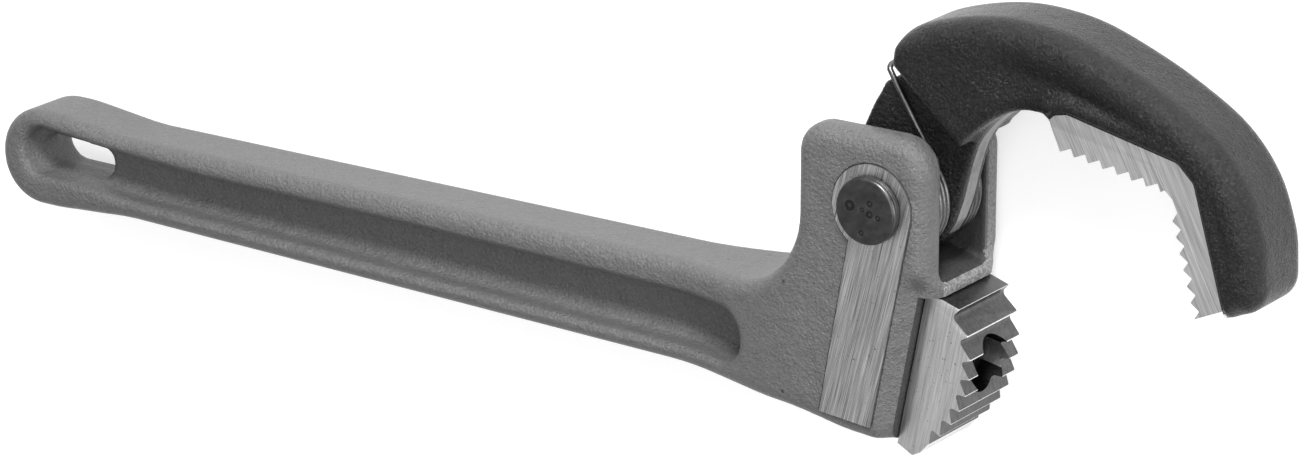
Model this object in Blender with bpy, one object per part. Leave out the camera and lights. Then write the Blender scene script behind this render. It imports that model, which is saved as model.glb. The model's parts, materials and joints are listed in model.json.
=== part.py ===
"""Pipe wrench with a spring-loaded, pivoting hook jaw, 14 inch size.

The wrench lies on its side. X runs along the handle towards the head, Y lies in the
plane of the jaws and Z is the thickness. The origin is on the jaw's pivot axis, at the
plane that the wrench rests on. Lengths are in millimetres and become metres in MM.
"""
import math

import bmesh
import bpy
from mathutils import Vector

MM = 0.001
GAP = 0.3                 # clearance between touching pieces

# Thicknesses, each measured from the middle plane of the wrench
EAR_HALF = 17.0           # cast faces of the head and its two ears
PAD_HALF = 17.3           # milled pads, which stand just proud of the casting
SLOT_HALF = 9.7           # clevis slot between the ears
SEAT_HALF = 13.4          # head where it carries the heel jaw
BAR_HALF = 9.9            # rims of the handle
WEB_HALF = 2.0            # web of the handle's I-section
HEEL_HALF = 10.7
HOOK_HALF = 11.6          # forged body of the hook jaw
LINING_HALF = 9.5         # ground sides of its toothed section
TANG_HALF = 4.1
REST = PAD_HALF           # height of the middle plane over the rest plane

# Pivot
PIN_R = 6.3
PIN_HEAD_R = 7.8
PIN_HEAD_TOP = 20.0
BORE_R = PIN_R + GAP
SPOT_R = 10.2             # round end of each pad, about the pin
FAR_SPOT_R = 8.9          # counterbore for the washer and the ring, on the far ear
FAR_SPOT_DEPTH = 3.4
LOBE_R = 13.5             # round end of the tang
BUSH_R = 8.3

# Spring
WIRE_R = 0.7
COIL_R = 12.4
COIL_TURNS = 2.33
SLEEVE_R = 11.0
LOOP = (-3.7, 29.6)       # where the spring's loop passes behind the hook jaw
TAIL_END = (-10.0, -13.2)

# Seat of the heel jaw: a plane tilted from Y, and the screw square to it
SEAT_TOP = (10.5, -20.1)
SEAT_TILT = math.radians(10.7)
SEAT_LENGTH = 37.0
SCREW_DOWN = 15.0         # from the seat's top to the screw's axis
SCREW_R = 4.0
DOWEL_OFFSET = 10.0
DOWEL_R = 1.5

# Teeth of the heel jaw, on an arc that bulges towards the pipe
HEEL_ARC_CENTRE = (-4.0, -34.0)
HEEL_TIP_R = 26.4
HEEL_GULLET_R = 23.9
HEEL_TIP_ANGLES = (28, 14, 2, -8, -17, -26, -35, -44.5, -53)
HEEL_STEEP = 3.5          # degrees from a tip to the gullet under it

# Teeth of the hook jaw, on two flats
HOOK_PITCH = 3.67
HOOK_TOOTH_DEPTH = 1.5
UPPER_FLAT = (43.2, 19.0, -10.4, 7)     # first tip x, y, direction, pitches
LOWER_FLAT = (71.5, 8.4, -73.8, 6)


def seat_point(down, out):
    """A point measured down the seat from its top, and out from it towards the teeth."""
    s, c = math.sin(SEAT_TILT), math.cos(SEAT_TILT)
    return (SEAT_TOP[0] - down * s + out * c, SEAT_TOP[1] - down * c - out * s)


def rounded(corners, step=12):
    """Outline through corners (x, y, radius), with an arc at each radius."""
    points = []
    for i, (x, y, radius) in enumerate(corners):
        here = Vector((x, y))
        before = Vector(corners[i - 1][:2]) - here
        after = Vector(corners[(i + 1) % len(corners)][:2]) - here
        if radius == 0:
            points.append((x, y))
            continue
        half = before.angle(after) / 2
        reach = radius / math.tan(half)
        centre = here + (before.normalized() + after.normalized()).normalized() * (
            radius / math.sin(half))
        a = here + before.normalized() * reach - centre
        b = here + after.normalized() * reach - centre
        start = math.atan2(a.y, a.x)
        turn = math.atan2(a.x * b.y - a.y * b.x, a.dot(b))
        count = max(1, round(abs(math.degrees(turn)) / step))
        for k in range(count + 1):
            angle = start + turn * k / count
            points.append((centre.x + radius * math.cos(angle),
                           centre.y + radius * math.sin(angle)))
    return points


def curve(points, steps=3):
    """Smooth open curve through the points (Catmull-Rom)."""
    ends = [points[0]] + list(points) + [points[-1]]
    result = []
    for i in range(1, len(ends) - 2):
        p0, p1, p2, p3 = (Vector(p) for p in ends[i - 1:i + 3])
        for k in range(steps):
            t = k / steps
            p = 0.5 * (2 * p1 + (p2 - p0) * t + (2 * p0 - 5 * p1 + 4 * p2 - p3) * t * t
                       + (3 * p1 - p0 - 3 * p2 + p3) * t ** 3)
            result.append((p.x, p.y))
    result.append(tuple(points[-1]))
    return result


def arc(centre, radius, start, end, count):
    """Points on an arc, angles in degrees."""
    angles = [math.radians(start + (end - start) * k / count) for k in range(count + 1)]
    return [(centre[0] + radius * math.cos(a), centre[1] + radius * math.sin(a))
            for a in angles]


def finish_mesh(name, bm, smooth_angle=35):
    """Make an object of a bmesh drawn in millimetres about the pivot's centre."""
    bmesh.ops.remove_doubles(bm, verts=bm.verts, dist=0.0005)
    bmesh.ops.recalc_face_normals(bm, faces=bm.faces)
    bmesh.ops.scale(bm, vec=(MM, MM, MM), verts=bm.verts)
    mesh = bpy.data.meshes.new(name)
    bm.to_mesh(mesh)
    bm.free()
    mesh.shade_smooth()
    mesh.set_sharp_from_angle(angle=math.radians(smooth_angle))
    part = bpy.data.objects.new(name, mesh)
    part.location = (0, 0, REST * MM)
    bpy.context.collection.objects.link(part)
    return part


def prism_bmesh(outline, low, high, edge_round=0, segments=3):
    """Extrude an outline in the jaws' plane from low to high, with rounded rims."""
    bm = bmesh.new()
    face = bm.faces.new([bm.verts.new((x, y, low)) for x, y in outline])
    top = bmesh.ops.extrude_face_region(bm, geom=[face])
    moved = [v for v in top["geom"] if isinstance(v, bmesh.types.BMVert)]
    bmesh.ops.translate(bm, vec=(0, 0, high - low), verts=moved)
    bmesh.ops.recalc_face_normals(bm, faces=bm.faces)
    if edge_round:
        rims = [e for e in bm.edges if abs(e.verts[0].co.z - e.verts[1].co.z) < 1e-6]
        bmesh.ops.bevel(bm, geom=rims, offset=edge_round, offset_type="OFFSET",
                        segments=segments, profile=0.5, affect="EDGES",
                        clamp_overlap=False)
    return bm


def prism(name, outline, low, high, edge_round=0, segments=3):
    return finish_mesh(name, prism_bmesh(outline, low, high, edge_round, segments))


def turned_bmesh(profile, steps=40):
    """Spin a closed (radius, height) profile round Z."""
    bm = bmesh.new()
    verts = [bm.verts.new((r, 0, z)) for r, z in profile]
    edges = [bm.edges.new((verts[i], verts[(i + 1) % len(verts)]))
             for i in range(len(verts))]
    bmesh.ops.spin(bm, geom=verts + edges, cent=(0, 0, 0), axis=(0, 0, 1),
                   angle=math.tau, steps=steps, use_merge=True)
    bmesh.ops.remove_doubles(bm, verts=bm.verts, dist=0.0005)
    loose = [e for e in bm.edges if not e.link_faces]
    bmesh.ops.delete(bm, geom=loose, context="EDGES")
    return bm


def turned(name, profile, steps=40):
    return finish_mesh(name, turned_bmesh(profile, steps))


def turned_on_seat(name, profile, down, side=0, steps=28):
    """Turn a profile about an axis square to the seat; heights run out from the seat."""
    bm = turned_bmesh(profile, steps)
    out = Vector((math.cos(SEAT_TILT), -math.sin(SEAT_TILT), 0))
    turn = Vector((0, 0, 1)).rotation_difference(out).to_matrix()
    bmesh.ops.rotate(bm, cent=(0, 0, 0), matrix=turn, verts=bm.verts)
    x, y = seat_point(down, 0)
    bmesh.ops.translate(bm, vec=(x, y, side), verts=bm.verts)
    return finish_mesh(name, bm)


def cylinder_profile(radius, low, high):
    return [(0, low), (radius, low), (radius, high), (0, high)]


def ring_profile(inner, outer, low, high):
    return [(inner, low), (outer, low), (outer, high), (inner, high)]


def boolean(part, tool, operation="DIFFERENCE"):
    """Cut or join with a hidden helper solid."""
    tool.hide_render = True
    tool.display_type = "WIRE"
    modifier = part.modifiers.new(tool.name, "BOOLEAN")
    modifier.object = tool
    modifier.operation = operation
    modifier.solver = "EXACT"


def material(part, name, colour, roughness, metallic):
    mat = bpy.data.materials.get(name)
    if mat is None:
        mat = bpy.data.materials.new(name)
        mat.use_nodes = True
        shader = mat.node_tree.nodes["Principled BSDF"]
        shader.inputs["Base Color"].default_value = (*colour, 1)
        shader.inputs["Roughness"].default_value = roughness
        shader.inputs["Metallic"].default_value = metallic
        mat.diffuse_color = (*colour, 1)
    part.data.materials.clear()
    part.data.materials.append(mat)


def grey_paint(part):
    material(part, "cast_grey_enamel", (0.20, 0.20, 0.20), 0.5, 0.0)


def black_enamel(part):
    material(part, "black_enamel", (0.035, 0.035, 0.035), 0.4, 0.0)


def black_oxide(part):
    material(part, "black_oxide_steel", (0.07, 0.07, 0.07), 0.45, 0.8)


def bright_steel(part):
    material(part, "ground_steel", (0.55, 0.55, 0.55), 0.35, 1.0)


def spring_steel(part):
    material(part, "spring_steel", (0.35, 0.35, 0.35), 0.3, 1.0)


def bronze(part):
    material(part, "sintered_bronze", (0.40, 0.28, 0.15), 0.5, 1.0)


# ---------------------------------------------------------------- handle

EYE_R = 12.3
EYE_LEFT = -262.6
EYE_TOP = -22.8
BAR_TOP = -25.3
BAR_BOTTOM_HEAD = -50.3
BAR_BOTTOM_EYE = -45.9
HEAD_BACK = -20.6
HEAD_FRONT = 13.6
EAR_TOP = 16.8
FAR_CORNER_R = 12.0
SWELL_START = -61.0       # where the bar starts to thicken towards the head
SWELL_END = -20.0
CASTING_ROUND = 3.0
SHOULDER_WIDTH = 4.0      # slope beside the seat, from the head down to the seat's width


def handle_outline():
    eye_bottom = EYE_TOP - 2 * EYE_R
    return rounded([
        (HEAD_BACK, EAR_TOP, 7),
        (HEAD_BACK, BAR_TOP, 20),
        (-224, BAR_TOP, 40),
        (-245, EYE_TOP, 25),
        (EYE_LEFT, EYE_TOP, EYE_R - 0.2),
        (EYE_LEFT, eye_bottom, EYE_R - 0.2),
        (-245, eye_bottom, 25),
        (-222, BAR_BOTTOM_EYE, 40),
        (-50, BAR_BOTTOM_HEAD, 60),
        (-22, -51.6, 40),
        (-8, -54.5, 30),
        (10, -56, 3.5),
        (16.4, -18, 3.5),
        (HEAD_FRONT, -12.5, 6),
        (HEAD_FRONT, EAR_TOP, 8),
    ])


def half_thickness(x, y):
    """Half thickness of the casting: thin bar, thick head, narrower at the seat."""
    t = min(1, max(0, (x - SWELL_START) / (SWELL_END - SWELL_START)))
    swell = t * t * (3 - 2 * t)
    s, c = math.sin(SEAT_TILT), math.cos(SEAT_TILT)
    from_seat = (x - SEAT_TOP[0]) * c - (y - SEAT_TOP[1]) * s
    slope = min(1, max(0, 1 + from_seat / SHOULDER_WIDTH))
    below_ear = min(1, max(0, (-13.5 - y) / 5))
    return (BAR_HALF + (EAR_HALF - BAR_HALF) * swell
            - (EAR_HALF - SEAT_HALF) * slope * below_ear)


def handle_casting():
    bm = prism_bmesh(handle_outline(), -BAR_HALF, BAR_HALF, CASTING_ROUND)
    steps = 8
    width = SWELL_END - SWELL_START
    planes = [((SWELL_START + width * k / steps, 0, 0), (1, 0, 0))
              for k in range(steps + 1)]
    across = (math.cos(SEAT_TILT), -math.sin(SEAT_TILT), 0)
    planes += [((*seat_point(0, -SHOULDER_WIDTH), 0), across), ((*SEAT_TOP, 0), across)]
    planes += [((0, -13.5, 0), (0, 1, 0)), ((0, -18.5, 0), (0, 1, 0))]
    for point, normal in planes:
        geometry = bm.verts[:] + bm.edges[:] + bm.faces[:]
        bmesh.ops.bisect_plane(bm, geom=geometry, plane_co=point, plane_no=normal)
    for vert in bm.verts:
        extra = half_thickness(vert.co.x, vert.co.y) - BAR_HALF
        vert.co.z += math.copysign(extra, vert.co.z)
    bmesh.ops.triangulate(bm, faces=[f for f in bm.faces if len(f.verts) > 4])
    return finish_mesh("handle", bm)


def recess_outline():
    return rounded([
        (-254.7, -26.3, 5.9),
        (-254.7, -39.0, 5.9),
        (-236, -39.4, 20),
        (-222, -40.8, 20),
        (-37.5, -46.3, 6.3),
        (-37.5, -33.2, 6.3),
        (-130, -31.3, 60),
        (-198, -30.7, 40),
        (-230, -28.8, 30),
    ])


def eye_outline():
    return rounded([
        (-254.3, -30.4, 4.1),
        (-254.3, -39.1, 4.1),
        (-231.9, -38.7, 3.2),
        (-231.9, -31.8, 3.2),
    ])


def pad_outline():
    """Round spotface about the pivot, running out into a strip down the head."""
    strip_end = [(-13.1, -50.2), (0.4, -51.6)]
    return arc((0, 0), SPOT_R, -15, 235, 24) + strip_end


def slot_outline():
    """Clevis slot: open at the back over a low wall, its floor falling to the lip."""
    return rounded([(-30, 40, 0), (-30, 5, 0), (-14.8, 5, 0), (-14.8, -14.6, 3),
                    (5, -14.6, 6), (15, -17.2, 0), (40, -17.2, 0), (40, 40, 0)])


def far_corner_outline():
    """What the far ear lacks at its back, where its corner is rounder than the near one."""
    corner = arc((HEAD_BACK + FAR_CORNER_R, EAR_TOP - FAR_CORNER_R), FAR_CORNER_R, 180, 90, 12)
    return corner + [(HEAD_BACK + FAR_CORNER_R, 25), (-30, 25), (-30, EAR_TOP - FAR_CORNER_R)]


def seat_outline():
    """Everything in front of the seat and under the lip over it."""
    top = seat_point(-GAP, -GAP)
    low = seat_point(SEAT_LENGTH + 12, -GAP)
    return [top, low, (40, low[1]), (40, top[1])]


def make_handle():
    handle = handle_casting()
    for sign, side in ((1, "near"), (-1, "far")):
        low, high = sorted((sign * (EAR_HALF - 2), sign * PAD_HALF))
        boolean(handle, prism("pad_" + side, pad_outline(), low, high), "UNION")
        low, high = sorted((sign * WEB_HALF, sign * (BAR_HALF + 12)))
        boolean(handle, prism("recess_" + side, recess_outline(), low, high))
    boolean(handle, prism("eye_cutter", eye_outline(), -20, 20))
    boolean(handle, prism("slot_cutter", slot_outline(), -SLOT_HALF, SLOT_HALF))
    boolean(handle, prism("far_corner_cutter", far_corner_outline(), -30, -SLOT_HALF + 1))
    boolean(handle, prism("seat_cutter", seat_outline(), -30, 30))
    bore = cylinder_profile(BORE_R, -30, 30)
    boolean(handle, turned("bore_cutter", bore))
    far_spot = cylinder_profile(FAR_SPOT_R, -30, -PAD_HALF + FAR_SPOT_DEPTH)
    boolean(handle, turned("far_spot_cutter", far_spot))
    screw_hole = cylinder_profile(SCREW_R + GAP, -15, 2)
    boolean(handle, turned_on_seat("screw_hole_cutter", screw_hole, SCREW_DOWN))
    for k, sign in enumerate((-1, 1)):
        hole = cylinder_profile(DOWEL_R + GAP, -6.5, 2)
        cutter = turned_on_seat(f"dowel_hole_{k}", hole, SCREW_DOWN + sign * DOWEL_OFFSET)
        boolean(handle, cutter)
    grey_paint(handle)


# ---------------------------------------------------------------- hook jaw

OUTER_EDGE = ((1.3, 36.0), (3.6, 39.6), (9.6, 42.5), (19.8, 45.2), (30.1, 46.2),
              (42.7, 44.9), (55.3, 40.7), (67.8, 35.0), (80.0, 27.4), (88.3, 17.5),
              (92.6, 6.0), (93.4, -1.5))
NECK_EDGE = ((19.7, 17.6), (25.0, 22.2), (29.5, 25.0), (34.2, 26.5), (39.0, 26.8))
FORGING_ROUND = 3.6


def tooth_row(x, y, direction, pitches, lean):
    """Tips and gullets along a flat; lean is where the gullet falls in each pitch."""
    a = math.radians(direction)
    along = Vector((math.cos(a), math.sin(a)))
    into = Vector((-along.y, along.x))
    points = []
    for k in range(pitches + 1):
        tip = Vector((x, y)) + along * HOOK_PITCH * k
        points.append(tuple(tip))
        if k < pitches:
            gullet = tip + along * HOOK_PITCH * lean + into * HOOK_TOOTH_DEPTH
            points.append(tuple(gullet))
    return points


def lining_outline():
    """Mouth of the jaw: a cutter whose edge is the toothed profile."""
    upper = tooth_row(*UPPER_FLAT, 0.70)
    lower = tooth_row(*LOWER_FLAT, 0.58)
    corner = [(68.6, 15.6), (71.3, 13.2), (72.6, 10.4)]
    end = [(84.5, -9.6), (84.5, -30), (36, -30), (30, 10), (38.6, 26.9), (40.5, 25.2)]
    return upper + corner + lower + end


def ground_outline():
    """Area on each side where the toothed section is ground thinner."""
    return rounded([(39.6, 25.0, 0), (41.8, 27.0, 1.2), (45.0, 27.7, 2), (72.4, 21.6, 2.5),
                    (76.5, 17.7, 2.5), (86.0, -14.6, 0), (86, -32, 0), (30, -32, 0),
                    (30, 20, 0)])


def body_outline():
    shoulder = [(0.7, 31.8), (18.4, 15.6)]
    mouth_stock = [(39.6, 22.0), (40.6, 14.5), (66.0, 9.0), (70.5, -16.0)]
    end = rounded([(80.0, -13.5, 0), (93.6, -8.4, 4.5), (93.4, -1.5, 0)])[:-1]
    return (shoulder + curve(NECK_EDGE, 2) + mouth_stock + end
            + list(reversed(curve(OUTER_EDGE, 2))))


def tang_outline():
    lobe = arc((0, 0), LOBE_R, 178, 322, 12)
    front = curve([(12.9, -4.6), (14.7, 0.6), (15.9, 5.6), (17.2, 10.6), (19.0, 15.8)], 2)
    inside = [(26, 27), (20, 36), (6, 36), (2.2, 33.0)]
    notch = [(0.3, 31.6), (-0.9, 27.8), (-5.2, 25.2)]
    back = curve([(-6.4, 22.8), (-8.7, 18.6), (-12.2, 10.0), (-13.4, 3.0)], 2)
    return lobe + front + inside + notch + back


def make_hook_jaw():
    jaw = prism("hook_jaw", body_outline(), -HOOK_HALF, HOOK_HALF, FORGING_ROUND, 3)
    boolean(jaw, prism("mouth_cutter", lining_outline(), -20, 20))
    for sign, side in ((1, "near"), (-1, "far")):
        low, high = sorted((sign * LINING_HALF, sign * 20))
        boolean(jaw, prism("grind_" + side, ground_outline(), low, high))
    tang = prism("tang", tang_outline(), -TANG_HALF, TANG_HALF, 0.9, 2)
    boolean(jaw, tang, "UNION")
    boolean(jaw, turned("bush_bore", cylinder_profile(BUSH_R + GAP, -20, 20)))
    black_enamel(jaw)


def make_tang_bush():
    bush = turned("tang_bush", ring_profile(BORE_R, BUSH_R, -TANG_HALF, TANG_HALF))
    bronze(bush)


# ---------------------------------------------------------------- heel jaw

SCREW_BOARD = 3.5         # thickness of the block left under the screw's head
COUNTERBORE_R = 6.8


def heel_outline():
    teeth = []
    for k, angle in enumerate(HEEL_TIP_ANGLES):
        teeth += arc(HEEL_ARC_CENTRE, HEEL_TIP_R, angle, angle, 1)[:1]
        if k < len(HEEL_TIP_ANGLES) - 1:
            low = angle - HEEL_STEEP
            teeth += arc(HEEL_ARC_CENTRE, HEEL_GULLET_R, low, low, 1)[:1]
    bottom = [(9.6, -57.6), (7.6, -58.6), seat_point(SEAT_LENGTH, 0)]
    return [SEAT_TOP, (14.6, -20.1)] + teeth + bottom


def make_heel_jaw():
    heel = prism("heel_jaw", heel_outline(), -HEEL_HALF, HEEL_HALF)
    hole = cylinder_profile(SCREW_R + GAP, -5, 30)
    boolean(heel, turned_on_seat("heel_hole", hole, SCREW_DOWN))
    counterbore = cylinder_profile(COUNTERBORE_R, SCREW_BOARD, 40)
    boolean(heel, turned_on_seat("counterbore", counterbore, SCREW_DOWN))
    for k, sign in enumerate((-1, 1)):
        pocket = cylinder_profile(DOWEL_R + GAP, -2, 5.5)
        where = SCREW_DOWN + sign * DOWEL_OFFSET
        boolean(heel, turned_on_seat(f"dowel_pocket_{k}", pocket, where))
    black_oxide(heel)


def make_heel_fasteners():
    seat_under_head = SCREW_BOARD + GAP
    washer = ring_profile(SCREW_R + GAP, 6.0, seat_under_head, seat_under_head + 1.2)
    spring_steel(turned_on_seat("heel_jaw_lock_washer", washer, SCREW_DOWN))
    head_low = seat_under_head + 1.2 + GAP
    screw = [(0, -14), (3.5, -14), (SCREW_R, -13.5), (SCREW_R, head_low), (6.1, head_low),
             (6.3, head_low + 0.2), (6.3, head_low + 2.8), (5.9, head_low + 3.2),
             (2.8, head_low + 3.2), (2.8, head_low + 1.5), (0, head_low + 0.9)]
    black_oxide(turned_on_seat("heel_jaw_screw", screw, SCREW_DOWN))
    for name, sign in (("upper", -1), ("lower", 1)):
        dowel = cylinder_profile(DOWEL_R, -6, 5)
        where = SCREW_DOWN + sign * DOWEL_OFFSET
        spring_steel(turned_on_seat("heel_jaw_dowel_" + name, dowel, where, steps=16))


# ---------------------------------------------------------------- pivot

def make_pivot():
    under_head = PAD_HALF + GAP
    washer_high = -PAD_HALF + FAR_SPOT_DEPTH - GAP
    washer_low = washer_high - 1.0
    ring_high = washer_low - GAP
    ring_low = ring_high - 1.0
    groove_r = PIN_R - 1.2
    pin = [(0, -PAD_HALF), (PIN_R - 0.4, -PAD_HALF), (PIN_R, ring_low - GAP - 0.1),
           (groove_r, ring_low - GAP), (groove_r, ring_high + GAP), (PIN_R, ring_high + GAP),
           (PIN_R, under_head), (PIN_HEAD_R, under_head), (PIN_HEAD_R, PIN_HEAD_TOP - 0.9),
           (PIN_HEAD_R - 0.3, PIN_HEAD_TOP - 0.25), (PIN_HEAD_R - 0.9, PIN_HEAD_TOP),
           (0, PIN_HEAD_TOP)]
    black_oxide(turned("pivot_pin", pin))
    washer = ring_profile(BORE_R, FAR_SPOT_R - GAP, washer_low, washer_high)
    spring_steel(turned("pivot_washer", washer))
    open_half = 30
    outline = (arc((0, 0), 8.0, -90 + open_half, 270 - open_half, 24)
               + arc((0, 0), groove_r + GAP, 270 - open_half, -90 + open_half, 24))
    spring_steel(prism("retaining_ring", outline, ring_low, ring_high))
    for name, sign in (("near", 1), ("far", -1)):
        low, high = sorted((sign * (TANG_HALF + GAP), sign * (SLOT_HALF - GAP)))
        sleeve = ring_profile(BORE_R, SLEEVE_R, low, high)
        bright_steel(turned("spring_sleeve_" + name, sleeve))


# ---------------------------------------------------------------- spring

def spring_half():
    """Middle line of one half, from the loop's middle to the tail; Z is positive."""
    inner = TANG_HALF + GAP + WIRE_R
    outer = SLOT_HALF - GAP - WIRE_R
    reach = math.hypot(*LOOP)
    leave = math.atan2(LOOP[1], LOOP[0]) - math.acos(COIL_R / reach)
    contact = (COIL_R * math.cos(leave), COIL_R * math.sin(leave))
    points = [(LOOP[0], LOOP[1], 0), (LOOP[0], LOOP[1], inner * 0.55),
              (LOOP[0] + 0.2, LOOP[1] - 0.4, inner * 0.88)]
    for k in range(1, 6):
        t = 0.04 + 0.96 * k / 6
        points.append((LOOP[0] + (contact[0] - LOOP[0]) * t,
                       LOOP[1] + (contact[1] - LOOP[1]) * t, inner))
    turn = math.tau * COIL_TURNS
    count = round(COIL_TURNS * 16)
    for k in range(count + 1):
        angle = leave - turn * k / count
        points.append((COIL_R * math.cos(angle), COIL_R * math.sin(angle),
                       inner + (outer - inner) * k / count))
    last = points[-1]
    for t in (0.5, 1.0):
        points.append((last[0] + (TAIL_END[0] - last[0]) * t,
                       last[1] + (TAIL_END[1] - last[1]) * t, outer))
    return points


def make_spring():
    near = spring_half()
    far = [(x, y, -z) for x, y, z in reversed(near[1:])]
    wire = bpy.data.curves.new("jaw_spring", "CURVE")
    wire.dimensions = "3D"
    wire.bevel_depth = WIRE_R * MM
    wire.bevel_resolution = 2
    wire.use_fill_caps = True
    spline = wire.splines.new("POLY")
    route = far + near
    spline.points.add(len(route) - 1)
    for point, (x, y, z) in zip(spline.points, route):
        point.co = (x * MM, y * MM, z * MM, 1)
    spring = bpy.data.objects.new("jaw_spring", wire)
    spring.location = (0, 0, REST * MM)
    bpy.context.collection.objects.link(spring)
    spring_steel(spring)


def main():
    for old in list(bpy.data.objects):
        bpy.data.objects.remove(old, do_unlink=True)
    make_handle()
    make_hook_jaw()
    make_tang_bush()
    make_heel_jaw()
    make_heel_fasteners()
    make_pivot()
    make_spring()


main()
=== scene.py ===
# %% [markdown]
# # A pipe wrench with a spring-loaded hook jaw
#
# The CAD model gives every part its true size and place. This lesson gives the parts their
# looks: castings with soft rounded edges, ground and milled steel, sharp teeth and a coiled
# wire. Each piece is built in the frame of the CAD model, so nothing has to be fitted.
#
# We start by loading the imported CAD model. Its nodes sit at the origin, each with its place
# in its mesh, and we may hide them or give them materials, but never move them.

# %% Load the CAD frame
import json
import math

import bmesh
import bpy
import numpy as np
from mathutils import Matrix, Vector


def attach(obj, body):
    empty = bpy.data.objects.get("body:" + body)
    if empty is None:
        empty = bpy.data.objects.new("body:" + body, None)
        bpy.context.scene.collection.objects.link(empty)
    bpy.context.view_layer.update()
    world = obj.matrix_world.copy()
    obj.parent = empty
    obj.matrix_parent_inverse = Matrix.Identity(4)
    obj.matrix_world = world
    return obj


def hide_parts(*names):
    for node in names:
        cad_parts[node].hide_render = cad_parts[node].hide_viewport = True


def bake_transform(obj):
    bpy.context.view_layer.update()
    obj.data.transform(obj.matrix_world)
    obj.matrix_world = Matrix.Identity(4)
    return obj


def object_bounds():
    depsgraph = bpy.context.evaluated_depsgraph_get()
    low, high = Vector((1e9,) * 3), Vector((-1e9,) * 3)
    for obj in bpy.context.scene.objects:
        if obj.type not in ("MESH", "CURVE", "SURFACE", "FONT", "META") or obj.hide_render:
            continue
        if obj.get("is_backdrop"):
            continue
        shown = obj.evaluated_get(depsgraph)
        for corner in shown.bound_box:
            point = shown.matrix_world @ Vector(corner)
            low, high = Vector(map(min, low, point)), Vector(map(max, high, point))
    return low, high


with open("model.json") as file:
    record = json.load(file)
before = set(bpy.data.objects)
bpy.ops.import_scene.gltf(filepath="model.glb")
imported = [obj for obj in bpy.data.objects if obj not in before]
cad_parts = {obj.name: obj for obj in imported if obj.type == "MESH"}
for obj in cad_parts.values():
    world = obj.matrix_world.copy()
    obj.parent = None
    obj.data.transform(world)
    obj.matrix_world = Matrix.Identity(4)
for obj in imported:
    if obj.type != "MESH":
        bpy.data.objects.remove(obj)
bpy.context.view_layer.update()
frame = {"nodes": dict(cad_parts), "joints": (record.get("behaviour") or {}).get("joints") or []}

print("CAD nodes:", ", ".join(sorted(frame["nodes"])))

# %% [markdown]
# ## Units and the middle plane
#
# A wrench is drawn in millimetres, and Blender works in metres, so we draw in millimetres
# about the middle of the jaw's pivot and convert once, when a mesh is finished. The wrench
# lies on its side: X runs along the handle, Y lies in the plane of the jaws and Z is the
# thickness. Every forging is the same on both sides of its middle plane, so one number,
# the height of that plane over the bench, places all of them.

# %% Units
MM = 0.001
pivot = Vector(frame["joints"][0]["pos_m"])
REST = pivot.z / MM
GAP = 0.3                 # clearance between touching parts, as in the CAD

print(f"middle plane {REST:.1f} mm over the bench")

# %% [markdown]
# ## Camera
#
# A long lens from 1.2 m away flattens the perspective, as catalogue pictures of tools do.
# Its direction is given by two turns: 34.6 degrees round the jaws' own vertical, and 18.2
# degrees above the handle. The camera is rolled so that the handle runs across the frame.

# %% Camera
LENS_MM, CAMERA_DISTANCE = 36 * 5400 / 1300, 1.1923
TURN, RISE = math.radians(34.6), math.radians(18.2)
right = Vector((math.cos(TURN), 0, -math.sin(TURN)))
back = Vector((math.sin(TURN) * math.cos(RISE), math.sin(RISE), math.cos(TURN) * math.cos(RISE)))
up = back.cross(right)
aim = Vector((-0.03831, -0.00342, 0.06511))

lens = bpy.data.cameras.new("camera")
lens.sensor_width = 36
lens.lens = LENS_MM
lens.clip_start, lens.clip_end = 0.1, 20
camera = bpy.data.objects.new("camera", lens)
turned = Matrix((right, up, back)).transposed().to_4x4()
camera.matrix_world = Matrix.Translation(aim + back * CAMERA_DISTANCE) @ turned
bpy.context.collection.objects.link(camera)
bpy.context.scene.camera = camera
print(f"lens {lens.lens:.0f} mm")

# %% [markdown]
# ## Adding nodes
#
# Materials and lights are node trees. One small function adds a node: it takes the node's
# settings, and its inputs by name or number, each either a value or a socket to link from.
# Colours are written as the sRGB hex values that a paint chart gives, and turned to linear
# light in one place.

# %% Node and colour helpers
def add(tree, kind, settings=None, inputs=None):
    """Add a node, set its properties and fill its inputs with values or links."""
    node = tree.nodes.new(kind)
    for name, value in (settings or {}).items():
        setattr(node, name, value)
    for key, value in (inputs or {}).items():
        if isinstance(value, bpy.types.NodeSocket):
            tree.links.new(value, node.inputs[key])
        else:
            node.inputs[key].default_value = value
    return node


def linear(hex_colour):
    """An sRGB hex colour as linear RGBA."""
    parts = [int(hex_colour[i:i + 2], 16) / 255 for i in (1, 3, 5)]
    return [p / 12.92 if p <= 0.04045 else ((p + 0.055) / 1.055) ** 2.4 for p in parts] + [1]


def per_mm(size):
    """Scale of a pattern in Object coordinates whose features are size millimetres wide."""
    return 1 / (size * MM)


print("mid grey is", round(linear("#808080")[0], 3), "in linear light")

# %% [markdown]
# ## Floor and light
#
# The wrench lies on a pale sheet under soft lights. Area lights are what makes steel and
# enamel readable: a metal shows only what it reflects, so a wide white card gives a wide soft
# highlight and a small one a crisp one. A small card hangs over the back of the jaws for the
# highlight on their rim. Wide ones behind it, in front and at the head's end lift the sides,
# and a dim pale sky fills the rest. The sheet glows a little, which keeps the shadows pale.

# %% Floor
def sheet(name, half, height):
    """A flat square floor."""
    mesh = bpy.data.meshes.new(name)
    mesh.from_pydata([(-half, -half, height), (half, -half, height),
                      (half, half, height), (-half, half, height)], [], [(0, 1, 2, 3)])
    piece = bpy.data.objects.new(name, mesh)
    bpy.context.collection.objects.link(piece)
    return piece


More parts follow.
